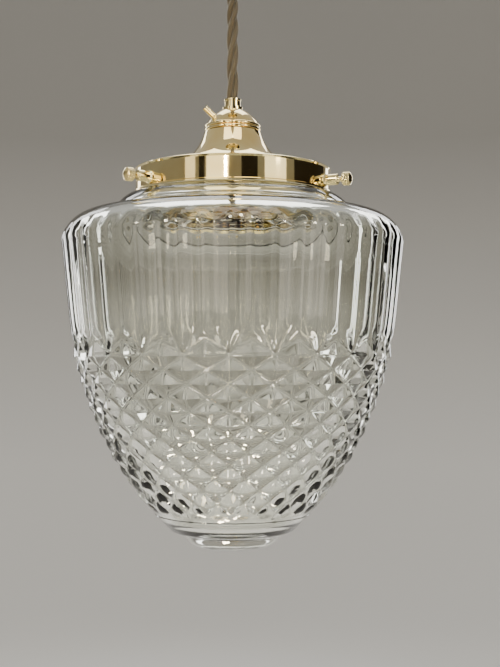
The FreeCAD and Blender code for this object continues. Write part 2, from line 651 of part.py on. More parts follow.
def glassShade():
    """A hollow acorn: a lipped neck, a rounded collar, a round shoulder, a long taper and a
    round button at the bottom. The inside follows the outside one wall's thickness in."""
    wall = "glassWall"
    return turned("glass_shade", [
        ("innerNeck", "lipTop"), ("lipOut", "lipTop"), ("lipOut", "lipEnd - 1"),
        ("neckOut", "lipEnd"), ("neckOut", "neckEnd"), ("throat", "throatDepth"),
        ("kinkRadius", "kinkDepth"), ("shoulderRadius", "shoulderDepth"),
        ("widest", "widestDepth"), ("fluteRadius", "fluteEnd"), ("acornRadius", "acornDepth"),
        ("hemRadius", "hemDepth"), ("knobRadius", "knobDepth"), ("knobFoot", "knobFootDepth"),
        ("buttonRadius", "shadeEnd"), ("0", "shadeEnd"),
        ("0", "innerMiddle"), ("innerFloorRadius", "innerFloor"),
        (f"acornRadius - {wall} * 0.75", f"acornDepth - {wall} * 0.8"),
        (f"fluteRadius - {wall}", "fluteEnd"), (f"widest - {wall}", "widestDepth"),
        (f"shoulderRadius - {wall} * 0.3", f"shoulderDepth + {wall}"),
        ("innerKink", f"kinkDepth + {wall} * 0.75"), ("innerThroat", f"throatDepth + {wall}"),
        ("innerNeck", "innerNeckEnd"),
    ], {5: "-kinkArc", 7: "-shoulderArc", 9: "-acornArc", 12: "-knobArc", 16: "innerFloorArc",
        18: f"acornArc - {wall}", 20: f"shoulderArc - {wall}",
        22: f"kinkArc - {wall}"}, lampTop)


# ---- the whole light ----

parts = [
    ceilingPlate(), roseCover(), coverScrews(), ceilingCordGrip(), ceilingLocknut(),
    ceilingGripScrew(), ceilingGripBush(), terminalBlock(), terminalPosts(), terminalScrews(),
    roseEarthTerminal(), *roseCores(), flex(), *flexTails(),
    lampholderCap(), neckBush(), earthScrew(), earthNut(), lampholderBarrel(),
    contactInsulator(), *plungers(), *springs(), *contactTerminals(), contactTerminalScrews(),
    *lampholderCores(), galleryBell(), galleryRing(), *shadeRings(), galleryBosses(),
    *galleryScrews(), *screwPads(), glassShade(),
]
doc.recompute()

for thing in doc.Objects:
    faults = [state for state in thing.State if state in ("Invalid", "Error")]
    if faults:
        raise RuntimeError(f"{thing.Label} is {faults}")
for part in parts:
    if part.Shape.isNull() or not part.Shape.isValid() or part.Shape.Volume <= 0:
        raise RuntimeError(f"{part.Label} has no sound shape")

os.makedirs("parts", exist_ok=True)
for part in parts:
    part.Shape.exportStep(f"parts/{part.Label}.step")
    box3 = part.Shape.BoundBox
    print(f"{part.Label:24s} {part.Shape.Volume:10.1f} mm3, solids {len(part.Shape.Solids)}, "
          f"z {box3.ZMin:.1f} to {box3.ZMax:.1f}")
flexShape = parts[[part.Label for part in parts].index("flex")].Shape
run = size("flexLength + 2 * pivotInset + 4 / 3 * flexRadius")
expected = math.pi * size("flexRadius") ** 2 * run
print(f"flex volume {flexShape.Volume:.1f}, straight run and two half balls {expected:.1f}")
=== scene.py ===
import json
import math

import bmesh
import bpy
import numpy as np
from mathutils import Matrix, Vector


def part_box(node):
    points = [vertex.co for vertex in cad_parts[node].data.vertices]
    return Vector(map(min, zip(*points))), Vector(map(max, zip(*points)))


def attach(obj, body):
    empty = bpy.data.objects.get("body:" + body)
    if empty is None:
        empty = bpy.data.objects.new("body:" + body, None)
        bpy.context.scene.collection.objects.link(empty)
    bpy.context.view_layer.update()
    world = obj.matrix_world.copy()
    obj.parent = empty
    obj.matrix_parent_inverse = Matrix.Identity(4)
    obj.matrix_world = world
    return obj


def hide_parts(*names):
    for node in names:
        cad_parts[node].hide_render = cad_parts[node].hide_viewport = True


# Pendant ceiling light: polished brass rose, gallery and lampholder, a twisted cloth flex
# and an acorn shade of clear pressed glass. Settings are in millimetres unless they say so.

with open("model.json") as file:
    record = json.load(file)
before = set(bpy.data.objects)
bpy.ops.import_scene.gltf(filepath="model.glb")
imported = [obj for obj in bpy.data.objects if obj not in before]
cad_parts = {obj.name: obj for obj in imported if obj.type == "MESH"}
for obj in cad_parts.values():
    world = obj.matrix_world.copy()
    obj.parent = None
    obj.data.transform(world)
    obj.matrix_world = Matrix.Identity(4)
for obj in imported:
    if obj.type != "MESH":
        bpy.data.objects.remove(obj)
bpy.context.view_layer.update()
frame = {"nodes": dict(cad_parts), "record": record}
nodes = frame["nodes"]
mm = 0.001
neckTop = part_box("lampholder_cap")[1].z / mm      # depths on the lamp are measured down from here
print("frame loaded,", len(nodes), "nodes")


# materials

def tone(hexCode):
    # sRGB hex to the linear colour that a shader wants
    parts = [int(hexCode[i:i + 2], 16) / 255 for i in (1, 3, 5)]
    return (*[c / 12.92 if c <= 0.04045 else ((c + 0.055) / 1.055) ** 2.4 for c in parts], 1.0)


def addNode(tree, kind, inputs=None, **settings):
    # one node, its settings, and its inputs as values or as sockets to link from
    node = tree.nodes.new(kind)
    for key, value in settings.items():
        setattr(node, key, value)
    for key, value in (inputs or {}).items():
        if isinstance(value, bpy.types.NodeSocket):
            tree.links.new(value, node.inputs[key])
        else:
            node.inputs[key].default_value = value
    return node


def newMaterial(name):
    material = bpy.data.materials.new(name)
    material.use_nodes = True
    tree = material.node_tree
    return material, tree, tree.nodes["Principled BSDF"]


def ramp(tree, factor, stops):
    node = addNode(tree, "ShaderNodeValToRGB", {"Fac": factor})
    node.color_ramp.elements[0].position, node.color_ramp.elements[0].color = stops[0]
    node.color_ramp.elements[1].position, node.color_ramp.elements[1].color = stops[-1]
    for place, colour in stops[1:-1]:
        node.color_ramp.elements.new(place).color = colour
    return node.outputs["Color"]


def perMetre(spacing):
    # a texture scale whose features are about this many millimetres apart
    return 1.0 / (spacing * mm)


brassFinish = {"light": "#F1E0A6", "deep": "#E4C681", "cloud": 26, "spinLines": 0.5, "smudge": 11,
               "polish": 0.03, "haze": 0.09, "lineDepth": 0.0006, "lacquer": 0.35}


def polishedBrass():
    # spun brass, buffed and lacquered: mirror-like, with faint rings from the buffing wheel and
    # a slightly deeper tone where the lacquer is thick
    material, tree, shader = newMaterial("brassPolishedLacquered")
    f = brassFinish
    place = addNode(tree, "ShaderNodeTexCoord").outputs["Object"]
    cloud = addNode(tree, "ShaderNodeTexNoise",
                    {"Vector": place, "Scale": perMetre(f["cloud"]), "Detail": 4.0})
    colour = ramp(tree, cloud.outputs["Fac"], [
        (0.3, tone(f["deep"])), (0.62, tone(f["light"]))])
    tree.links.new(colour, shader.inputs["Base Color"])
    shader.inputs["Metallic"].default_value = 1.0
    smudge = addNode(tree, "ShaderNodeTexNoise",
                     {"Vector": place, "Scale": perMetre(f["smudge"]), "Detail": 6.0, "Roughness": 0.6})
    rough = addNode(tree, "ShaderNodeMapRange", {
        "Value": smudge.outputs["Fac"], "From Min": 0.35, "From Max": 0.75,
        "To Min": f["polish"], "To Max": f["haze"]})
    tree.links.new(rough.outputs["Result"], shader.inputs["Roughness"])
    # the rings run round the axis: noise over radius and height only
    split = addNode(tree, "ShaderNodeSeparateXYZ", {"Vector": place})
    flat = addNode(tree, "ShaderNodeCombineXYZ", {"X": split.outputs["X"], "Y": split.outputs["Y"]})
    radius = addNode(tree, "ShaderNodeVectorMath", {0: flat.outputs["Vector"]}, operation="LENGTH")
    turned = addNode(tree, "ShaderNodeCombineXYZ",
                     {"X": radius.outputs["Value"], "Y": split.outputs["Z"]})
    lines = addNode(tree, "ShaderNodeTexNoise", {
        "Vector": turned.outputs["Vector"], "Scale": perMetre(f["spinLines"]), "Detail": 2.0},
        noise_dimensions="2D")
    bump = addNode(tree, "ShaderNodeBump", {
        "Height": lines.outputs["Fac"], "Distance": f["lineDepth"] * mm, "Strength": 0.6})
    tree.links.new(bump.outputs["Normal"], shader.inputs["Normal"])
    shader.inputs["Coat Weight"].default_value = f["lacquer"]
    shader.inputs["Coat Roughness"].default_value = 0.05
    return material


metalFinish = {
    "turned_brass": ("#C9A35A", "#A88445", 0.22, 0.34, 0.35),
    "zinc_plate": ("#B9BCC0", "#8F949A", 0.3, 0.45, 2.5),
    "spring_steel": ("#9A9CA0", "#6E7176", 0.25, 0.35, 0.4),
}


def workedMetal(name):
    # bare turned brass, zinc-plated pressed steel and drawn spring wire: fine grain, soft gloss
    light, dark, smooth, rough, grain = metalFinish[name]
    material, tree, shader = newMaterial(name)
    place = addNode(tree, "ShaderNodeTexCoord").outputs["Object"]
    noise = addNode(tree, "ShaderNodeTexNoise", {
        "Vector": place, "Scale": perMetre(grain), "Detail": 5.0, "Roughness": 0.6})
    colour = ramp(tree, noise.outputs["Fac"], [(0.3, tone(dark)), (0.7, tone(light))])
    tree.links.new(colour, shader.inputs["Base Color"])
    shader.inputs["Metallic"].default_value = 1.0
    spread = addNode(tree, "ShaderNodeMapRange", {
        "Value": noise.outputs["Fac"], "From Min": 0.3, "From Max": 0.7,
        "To Min": smooth, "To Max": rough})
    tree.links.new(spread.outputs["Result"], shader.inputs["Roughness"])
    bump = addNode(tree, "ShaderNodeBump", {
        "Height": noise.outputs["Fac"], "Distance": 0.01 * mm, "Strength": 0.4})
    tree.links.new(bump.outputs["Normal"], shader.inputs["Normal"])
    return material


plasticFinish = {
    "phenolicMoulded": ("#2E1C14", "#1C110C", 0.28),      # compression-moulded, brown-black, glossy
    "nylonMoulded": ("#D8D2C4", "#C4BCAB", 0.45),         # natural nylon, waxy
    "coreBrown": ("#5A3520", "#472818", 0.4),
    "coreBlue": ("#2A5AA8", "#234C90", 0.4),
    "coreGreen": ("#4E8C34", "#C9B53A", 0.4),
}


def mouldedPlastic(name):
    # a mould skin: even colour with a faint orange peel
    light, dark, rough = plasticFinish[name]
    material, tree, shader = newMaterial(name)
    place = addNode(tree, "ShaderNodeTexCoord").outputs["Object"]
    noise = addNode(tree, "ShaderNodeTexNoise",
                    {"Vector": place, "Scale": perMetre(0.8), "Detail": 3.0})
    colour = ramp(tree, noise.outputs["Fac"], [(0.35, tone(dark)), (0.65, tone(light))])
    tree.links.new(colour, shader.inputs["Base Color"])
    shader.inputs["Roughness"].default_value = rough
    bump = addNode(tree, "ShaderNodeBump", {
        "Height": noise.outputs["Fac"], "Distance": 0.01 * mm, "Strength": 0.35})
    tree.links.new(bump.outputs["Normal"], shader.inputs["Normal"])
    return material


glassFinish = {"tint": "#F6F7EF", "wave": 9, "waveDepth": 0.035, "ripple": 2.2, "rippleDepth": 0.004}


def pressedGlass():
    # clear soda glass, pressed and fire polished: no roughness to speak of, but the surface
    # carries the slow waves and small ripples that the chilled mould leaves
    material, tree, shader = newMaterial("glassPressedClear")
    f = glassFinish
    shader.inputs["Base Color"].default_value = tone(f["tint"])
    shader.inputs["Transmission Weight"].default_value = 1.0
    shader.inputs["IOR"].default_value = 1.51
    shader.inputs["Roughness"].default_value = 0.01
    place = addNode(tree, "ShaderNodeTexCoord").outputs["Object"]
    wave = addNode(tree, "ShaderNodeTexNoise",
                   {"Vector": place, "Scale": perMetre(f["wave"]), "Detail": 1.0})
    first = addNode(tree, "ShaderNodeBump", {
        "Height": wave.outputs["Fac"], "Distance": f["waveDepth"] * mm, "Strength": 1.0})
    ripple = addNode(tree, "ShaderNodeTexNoise",
                     {"Vector": place, "Scale": perMetre(f["ripple"]), "Detail": 2.0})
    second = addNode(tree, "ShaderNodeBump", {
        "Height": ripple.outputs["Fac"], "Distance": f["rippleDepth"] * mm,
        "Normal": first.outputs["Normal"]})
    tree.links.new(second.outputs["Normal"], shader.inputs["Normal"])
    return material


# braid colours: thread tops lightened as a painted highlight, 'shade' is painted shade on the flanks, the gap
# colour is painted shade between threads
clothFinish = {"threadTopPaintedHighlight": "#75653B", "shade": "#3A2F19", "gapPaintedShade": "#17120A", "pickAlong": 1.1,
               "tailPick": 1.0, "picksRound": 9, "threadDepth": 0.12}


def braidedCloth(name, mapName=None):
    # rayon braid over each core: two sets of threads that cross on the diagonal. Its colour carries painted
    # light: a painted highlight on the thread tops, painted shade on their flanks and darker painted shade in
    # the gaps. The pitch of the braid is drawn a little coarse so that it shows.
    material, tree, shader = newMaterial(name)
    f = clothFinish
    if mapName:
        source = addNode(tree, "ShaderNodeUVMap", uv_map=mapName).outputs["UV"]
        alongAxis, turns = "Y", float(f["picksRound"])
    else:
        source = addNode(tree, "ShaderNodeTexCoord").outputs["Object"]
        alongAxis, turns = "Z", perMetre(f["tailPick"])
    split = addNode(tree, "ShaderNodeSeparateXYZ", {"Vector": source})
    around = addNode(tree, "ShaderNodeMath", {0: split.outputs["X"], 1: turns}, operation="MULTIPLY")
    along = addNode(tree, "ShaderNodeMath", {0: split.outputs[alongAxis], 1: perMetre(f["pickAlong"])},
                    operation="MULTIPLY")
    heights = []
    for way in ("ADD", "SUBTRACT"):
        lean = addNode(tree, "ShaderNodeMath", {0: around.outputs[0], 1: along.outputs[0]},
                       operation=way)
        angle = addNode(tree, "ShaderNodeMath", {0: lean.outputs[0], 1: math.pi}, operation="MULTIPLY")
        wave = addNode(tree, "ShaderNodeMath", {0: angle.outputs[0]}, operation="SINE")
        heights.append(addNode(tree, "ShaderNodeMath", {0: wave.outputs[0]}, operation="ABSOLUTE"))
    weave = addNode(tree, "ShaderNodeMath", {0: heights[0].outputs[0], 1: heights[1].outputs[0]},
                    operation="MULTIPLY")
    # colour by weave height: painted shade in the gaps and on the flanks, a painted highlight on the thread
    # tops
    colour = ramp(tree, weave.outputs[0], [
        (0.05, tone(f["gapPaintedShade"])), (0.35, tone(f["shade"])), (0.95, tone(f["threadTopPaintedHighlight"]))])
    tree.links.new(colour, shader.inputs["Base Color"])
    shader.inputs["Roughness"].default_value = 0.55
    shader.inputs["Sheen Weight"].default_value = 0.4
    bump = addNode(tree, "ShaderNodeBump", {
        "Height": weave.outputs[0], "Distance": f["threadDepth"] * mm, "Strength": 0.9})
    tree.links.new(bump.outputs["Normal"], shader.inputs["Normal"])
    return material


brass = polishedBrass()
glass = pressedGlass()
slotMaterials = {
    "polished_brass": brass,
    "machined_brass": workedMetal("turned_brass"),
    "zinc_plated_steel": workedMetal("zinc_plate"),
    "spring_steel": workedMetal("spring_steel"),
    "pressed_glass": glass,
    "braided_flex": braidedCloth("clothTail"),
    "phenolic": mouldedPlastic("phenolicMoulded"),
    "nylon": mouldedPlastic("nylonMoulded"),
    "core_brown": mouldedPlastic("coreBrown"),
    "core_blue": mouldedPlastic("coreBlue"),
    "core_green": mouldedPlastic("coreGreen"),
}
for entry in frame["record"]["subparts"]:
    node = nodes[entry["node"]]
    node.data.materials.clear()
    node.data.materials.append(slotMaterials[entry["material_slot"]])
print("materials made")


# shared modelling helpers

def arcPoints(start, end, bend, steps):
    # points after start along an arc to end, in (radius, depth); a positive bend bulges to the
    # left of the way it travels when the depth is drawn downwards
    a, b = Vector((start[0], -start[1])), Vector((end[0], -end[1]))
    chord = b - a
    side = Vector((-chord.y, chord.x)).normalized()
    centre = (a + b) / 2 + side * math.copysign(math.sqrt(bend ** 2 - (chord.length / 2) ** 2), bend)
    first = math.atan2(a.y - centre.y, a.x - centre.x)
    last = math.atan2(b.y - centre.y, b.x - centre.x)
    sweep = (last - first) % (2 * math.pi) if bend > 0 else -((first - last) % (2 * math.pi))
    return [(centre.x + abs(bend) * math.cos(first + sweep * i / steps),
             -(centre.y + abs(bend) * math.sin(first + sweep * i / steps)))
            for i in range(1, steps + 1)]


def outline(corners):
    # corners are (radius, depth), or (radius, depth, bend, steps) for an arc from the last corner
    points = []
    for corner in corners:
        if len(corner) == 2:
            points.append(corner)
        else:
            points += arcPoints(points[-1], corner[:2], corner[2], corner[3])
    return points


def turn(name, points, steps, closed=True, top=0.0, edge=0.0):
    # spins (radius, depth) points about Z and finishes the sharp edges with a small bevel
    bm = bmesh.new()
    chain = [bm.verts.new((radius * mm, 0, (top - depth) * mm)) for radius, depth in points]
    pairs = list(zip(chain, chain[1:])) + ([(chain[-1], chain[0])] if closed else [])
    spine = [bm.edges.new(pair) for pair in pairs]
    bmesh.ops.spin(bm, geom=chain + spine, cent=(0, 0, 0), axis=(0, 0, 1), angle=2 * math.pi,
                   steps=steps, use_merge=True)
    bmesh.ops.remove_doubles(bm, verts=bm.verts, dist=0.0005 * mm)
    bmesh.ops.recalc_face_normals(bm, faces=bm.faces)
    if edge:
        sharp = [e for e in bm.edges if len(e.link_faces) == 2 and e.calc_face_angle() > math.radians(28)]
        bmesh.ops.bevel(bm, geom=sharp, offset=edge * mm, offset_type="OFFSET", affect="EDGES",
                        segments=2, profile=0.5, material=-1, clamp_overlap=True)
    return finishMesh(name, bm)


def finishMesh(name, bm, smoothAngle=30):
    mesh = bpy.data.meshes.new(name)
    bm.to_mesh(mesh)
    bm.free()
    mesh.shade_smooth()
    mesh.set_sharp_from_angle(angle=math.radians(smoothAngle))
    piece = bpy.data.objects.new(name, mesh)
    bpy.context.scene.collection.objects.link(piece)
    return piece


def standFor(piece, body, slot, material, *replaced):
    piece.data.materials.clear()
    piece.data.materials.append(material)
    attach(piece, body)
    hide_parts(*replaced)
    return piece


# flex: three cloth-covered cores twisted together

flexSettings = {"strands": 3, "strandRadius": 1.6, "orbit": 1.78, "lay": 38, "sides": 14,
                "stepsPerLay": 44, "look": 0.002, "diameter": 6.7, "routePoints": 6}


def flexRoute():
    # the hanging run, as the centreline of a NURBS spline from the upper grip to the lower one
    low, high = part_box("flex")
    ballRadius = (high.x - low.x) / 2
    top, bottom = high.z - ballRadius, low.z + ballRadius
    curve = bpy.data.curves.new("flexRoute", "CURVE")
    curve.dimensions = "3D"
    spline = curve.splines.new("NURBS")
    count = flexSettings["routePoints"]
    spline.points.add(count - 1)
    for i, point in enumerate(spline.points):
        point.co = (0, 0, top + (bottom - top) * i / (count - 1), 1)
    spline.order_u = 3
    spline.use_endpoint_u = True
    spline.resolution_u = 16
    holder = bpy.data.objects.new("flexRoute", curve)
    bpy.context.scene.collection.objects.link(holder)
    bpy.context.view_layer.update()
    mesh = bpy.data.meshes.new_from_object(holder)
    points = [v.co.copy() for v in mesh.vertices]
    bpy.data.objects.remove(holder)
    return points


def along(points, share):
    place = share * (len(points) - 1)
    index = min(int(place), len(points) - 2)
    return points[index].lerp(points[index + 1], place - index)


def strandPlace(route, share, phase):
    # where one strand's ring sits: beside the route, turned square to its own way along
    f = flexSettings
    lay = f["lay"] * mm

    def centre(part):
        part = min(max(part, 0.0), 1.0)
        angle = phase - 2 * math.pi * part * f["length"] * mm / lay
        return along(route, part) + Vector((math.cos(angle), math.sin(angle), 0)) * f["orbit"] * mm

    here = centre(share)
    ahead = (centre(share + f["look"]) - centre(share - f["look"])).normalized()
    out = here - along(route, share)
    out = (out - ahead * out.dot(ahead)).normalized()
    across = ahead.cross(out)
    turnTo = Matrix((out, across, ahead)).transposed().to_4x4()
    return Matrix.Translation(here) @ turnTo


def strand(bm, uv, route, phase, steps):
    # a small circle pulled along the strand by extruding it and moving the new ring into place
    f = flexSettings
    place = strandPlace(route, 0.0, phase)
    made = bmesh.ops.create_circle(bm, segments=f["sides"], radius=f["strandRadius"] * mm, matrix=place)
    ring = made["verts"]
    edges = list({edge for vert in ring for edge in vert.link_edges})
    first, count = ring, len(ring)
    run = 0.0
    for i in range(1, steps + 1):
        target = strandPlace(route, i / steps, phase)
        made = bmesh.ops.extrude_edge_only(bm, edges=edges)["geom"]
        fresh = [part for part in made if isinstance(part, bmesh.types.BMVert)]
        bmesh.ops.transform(bm, matrix=target @ place.inverted(), verts=fresh)
        step = (target.translation - place.translation).length
        freshSet = set(fresh)
        nextRing = [next(e.other_vert(v) for e in v.link_edges if e.other_vert(v) in freshSet) for v in ring]
        order = {vert: (j, run) for j, vert in enumerate(ring)}
        order.update({vert: (j, run + step) for j, vert in enumerate(nextRing)})
        for face in (part for part in made if isinstance(part, bmesh.types.BMFace)):
            wraps = {order[loop.vert][0] for loop in face.loops} == {0, count - 1}
            for loop in face.loops:
                j, travelled = order[loop.vert]
                loop[uv].uv = ((count if wraps and j == 0 else j) / count, travelled)
        edges = [part for part in made if isinstance(part, bmesh.types.BMEdge)
                 and part.verts[0] in freshSet and part.verts[1] in freshSet]
        ring, place, run = nextRing, target, run + step
    bmesh.ops.contextual_create(bm, geom=first)
    bmesh.ops.contextual_create(bm, geom=ring)


def twistedFlex():
    f = flexSettings
    route = flexRoute()
    length = sum((b - a).length for a, b in zip(route, route[1:]))
    f["length"] = length / mm
    steps = int(length / (f["lay"] * mm) * f["stepsPerLay"])
    bm = bmesh.new()
    uv = bm.loops.layers.uv.new("braid")
    for number in range(f["strands"]):
        strand(bm, uv, route, 2 * math.pi * number / f["strands"], steps)
    bmesh.ops.recalc_face_normals(bm, faces=bm.faces)
    piece = finishMesh("flex_twisted", bm, 60)
    standFor(piece, "flex", "braided_flex", braidedCloth("clothBraided", "braid"), "flex")


twistedFlex()
print("flex made")


# pressed-glass shade

shadeSettings = {
    "steps": 384, "facing": -97.2,      # columns round, and the bearing of one star
    # the plain acorn, as (radius, depth) and the radius of the arc that starts or ends there
    "shoulder": (77.5, 65, 19), "widest": (94.5, 81), "fluteEnd": (90.2, 122), "acorn": (38.9, 234.5, 203),
    "shoulderArcSteps": 18, "tableSteps": 400,
    "neckLine": [(44.5, 43.8), (45.3, 43), (50.7, 43), (51.5, 43.8), (51.5, 45.4), (49.2, 46.3), (48.5, 47),
                 (48.5, 51.6), (49, 52.3), (50, 52.8), (54, 53.9), (65.2, 62, -16, 9), (66.4, 62.4),
                 (76.4, 64.7)],
    "footLine": [(38.3, 235.1), (34.9, 238.6), (34.2, 239.3), (33.2, 239.8), (28, 241.7), (27, 242.1),
                 (17, 248.6, -14, 7), (14, 249.2), (9, 249.6), (0, 249.6)],
    "insideLine": [(0, 239.5), (27, 237, 200, 4), (35.6, 231), (85.8, 122, 198.6, 18), (90.1, 81),
                   (76.2, 69.4, 14.6, 8), (64, 65.7), (62.5, 65.1), (52.4, 58.3, 11.6, 6), (46.2, 56.2),
                   (44.5, 55)],
    "flutes": 48, "fluteTop": 71, "fluteFull": 84, "fluteDepth": 1.0, "fluteRows": 10,
    "plainFrom": 90, "plainRows": 9,
    "stars": 24, "starRow": 143.8, "fanRise": 8.8, "zigzagBlend": 2.6,
    "rayLean": 28, "rayLong": 16, "rayFade": 6, "rayHalf": 2.1, "rayDepth": 0.7,
    "halfRow": 6.9, "rowsPerHalf": 8, "grooveDepth": 1.0, "crown": 1.3, "pearlCurve": 0.8,
    "soften": (160, 205), "fade": (223, 229), "lastRow": 229.6,
    "rimBead": (230.1, 232.7, 0.5), "beadRound": 0.4,
    # slow unevenness of the mould: height, waves round and waves down
    "lump": 0.14, "lumpRound": (17, 7), "lumpDown": (0.31, 0.23), "lumpFrom": (100, 200),
    "wallReach": 0.6, "crease": 32,
}


def shadeWidth(depths):
    # outer radius of the plain acorn at each depth, from the shoulder to the plain band
    s = shadeSettings
    corners = [s["shoulder"][:2], s["widest"], s["fluteEnd"], s["acorn"][:2]]
    fine = s["tableSteps"]
    upper = np.array(corners[:1] + arcPoints(corners[0], corners[1], -s["shoulder"][2], fine))
    lower = np.array(corners[2:3] + arcPoints(corners[2], corners[3], -s["acorn"][2], fine))
    table = np.vstack([upper, lower])
    return np.interp(depths, table[:, 1], table[:, 0])


def shadeRows():
    # depths of the rows of the outer wall below the shoulder, dense where the pattern needs them
    s = shadeSettings
    fanTop = s["starRow"] - 2 * s["fanRise"]
    flute = list(np.linspace(s["widest"][1], s["plainFrom"], s["fluteRows"] + 1)[1:])
    plain = list(np.linspace(s["plainFrom"], fanTop, s["plainRows"] + 1)[1:])
    fan = list(np.linspace(fanTop, s["starRow"], 2 * s["rowsPerHalf"] + 1)[1:])
    lattice = list(np.arange(s["starRow"], s["lastRow"], s["halfRow"] / s["rowsPerHalf"])[1:])
    return flute + plain + fan + lattice


def smooth(low, high, value):
    t = np.clip((value - low) / (high - low), 0, 1)
    return t * t * (3 - 2 * t)


def shadePattern(theta, depth):
    # height of the pattern above the plain wall, in millimetres
    s = shadeSettings
    turnShare = (theta - math.radians(s["facing"])) / (2 * math.pi)
    across = np.abs(((turnShare * s["flutes"]) % 1.0) * 2 - 1)           # 1 on an arris, 0 mid flute
    cut = s["fluteDepth"] * smooth(s["fluteTop"], s["fluteFull"], depth)
    flute = np.minimum(0, s["fluteDepth"] * across ** 2 - cut)
    column = turnShare * s["stars"]
    up = s["starRow"] - depth
    row = -up / (2 * np.where(up > 0, s["fanRise"], s["halfRow"]))       # the first row is taller
    nearA = np.abs((column + row + 0.5) % 1.0 - 0.5)
    nearB = np.abs((column - row + 0.5) % 1.0 - 0.5)
    pyramid = 2 * np.minimum(nearA, nearB)
    pearl = np.sin(math.pi * nearA) * np.sin(math.pi * nearB)
    rounded = smooth(*s["soften"], depth)
    shape = (1 - rounded) * pyramid + rounded * pearl ** s["pearlCurve"]
    lattice = (s["grooveDepth"] + s["crown"]) * shape
    lattice = (lattice - s["grooveDepth"]) * (1 - smooth(*s["fade"], depth))
    # a fan over each star: two long narrow cuts that lean out and run up into the flutes
    between = np.abs((column + 0.5) % 1.0 - 0.5)
    sideways = between * 2 * math.pi * shadeWidth(depth) / s["stars"]
    away = np.abs(sideways - up * math.tan(math.radians(s["rayLean"])))
    ray = s["rayDepth"] * np.clip(1 - away / s["rayHalf"], 0, 1)
    ray = ray * (1 - smooth(s["rayLong"] - s["rayFade"], s["rayLong"], up))
    # the zigzag where the flutes run into the first row: down at a star, up between two
    above = up - s["fanRise"] * between * 2
    blend = np.clip(above / s["zigzagBlend"], 0, 1)
    top = -s["grooveDepth"] * (1 - blend) + flute * blend - ray
    return np.where(above > 0, top, lattice), nearA < nearB


def shadeOutline():
    # the outer line from the lip down to the foot, then the inner line back up
    s = shadeSettings
    rows = shadeRows()
    widths = shadeWidth(np.array(rows))
    beadTop, beadEnd, beadOut = s["rimBead"]
    beadRows = [(beadTop, 0), (beadTop + s["beadRound"], beadOut), (beadEnd - s["beadRound"], beadOut),
                (beadEnd, 0)]
    radius, depth, bend = s["shoulder"]
    outer = outline([*s["neckLine"], (radius, depth), (*s["widest"], -bend, s["shoulderArcSteps"])])
    outer += [(float(width), float(depth)) for width, depth in zip(widths, rows)]
    outer += [(float(shadeWidth(depth)) + out, depth) for depth, out in beadRows]
    outer += outline([s["acorn"][:2], *s["footLine"]])
    return outer + outline(s["insideLine"])


def splitLattice(bm, patterned, depth, theta, leansA):
    # each quad of the lattice is split along its nearest groove, so that the grooves stay crisp
    s = shadeSettings
    latticeTop = s["starRow"] - s["fanRise"] - 0.1
    lattice = [f for f in bm.faces if len(f.verts) == 4 and all(
        patterned[v.index] and depth[v.index] > latticeTop for v in f.verts)]
    split = {True: [], False: []}
    for face in lattice:
        votes = sum(bool(leansA[v.index]) for v in face.verts)
        first, third = face.verts[0], face.verts[2]
        fall = (depth[third.index] - depth[first.index]) * math.sin(theta[third.index] - theta[first.index])
        wantsFall = votes < 2       # the B grooves run down as the angle grows
        split[(fall > 0) == wantsFall].append(face)
    return split


def glassShade():
    s = shadeSettings
    piece = turn("glass_shade_pressed", shadeOutline(), s["steps"], closed=False, top=neckTop)
    bm = bmesh.new()
    bm.from_mesh(piece.data)
    lip = [e for e in bm.edges if e.is_boundary]
    bmesh.ops.bridge_loops(bm, edges=lip)
    bmesh.ops.recalc_face_normals(bm, faces=bm.faces)
    bm.verts.ensure_lookup_table()
    co = np.array([v.co for v in bm.verts]) / mm
    radius, depth = np.hypot(co[:, 0], co[:, 1]), neckTop - co[:, 2]
    theta = np.arctan2(co[:, 1], co[:, 0])
    patterned = np.abs(radius - shadeWidth(depth)) < s["wallReach"]
    patterned &= (depth > s["fluteTop"] - 3) & (depth < s["fade"][1])
    height, leansA = shadePattern(theta, depth)
    lump = np.sin(theta * s["lumpRound"][0] + depth * s["lumpDown"][0])
    lump = lump * np.sin(theta * s["lumpRound"][1] - depth * s["lumpDown"][1])
    height = height + s["lump"] * lump * smooth(*s["lumpFrom"], depth)
    # pushed out square to the wall
    slope = shadeWidth(depth + 0.5) - shadeWidth(depth - 0.5)
    push = np.where(patterned, height, 0) / np.sqrt(1 + slope ** 2)
    co[:, 0] += push * np.cos(theta)
    co[:, 1] += push * np.sin(theta)
    co[:, 2] += push * slope
    split = splitLattice(bm, patterned, depth, theta, leansA)
    for vert, place in zip(bm.verts, co):
        vert.co = place * mm
    bmesh.ops.triangulate(bm, faces=split[True], quad_method="FIXED")
    bmesh.ops.triangulate(bm, faces=[f for f in split[False] if f.is_valid], quad_method="ALTERNATE")
    bm.to_mesh(piece.data)
    bm.free()
    piece.data.shade_smooth()
    piece.data.set_sharp_from_angle(angle=math.radians(s["crease"]))
    return standFor(piece, "lamp", "pressed_glass", glass, "glass_shade")


glassShade()
print("shade made")


# thumb screws with knurled heads

screwSettings = {
    "angles": {"back": 90, "left": 210, "right": 330}, "depth": 48.8, "steps": 144,
    # (radius, way out from the axis): spigot, thread, waist, knurled head and its crown
    "profile": [(0, 50.3), (0.85, 50.3), (1, 50.5), (1, 52.2), (1.5, 52.2), (1.75, 52.45), (1.75, 61.9),
                (1.45, 62.3), (1.45, 63.9), (1.75, 64.6), (2.6, 64.6), (3.25, 64.75), (3.6, 65.1),
                (3.6, 65.8), (3.6, 66.5), (3.6, 67.2), (3.6, 67.9), (3.6, 68.5), (3.3, 68.8), (2.8, 69),
                (1, 69.8, -4.6, 5), (0, 69.8)],
    "knurls": 36, "knurlDepth": 0.16, "knurlFrom": 3.5, "knurlBand": (65, 68.6),
}


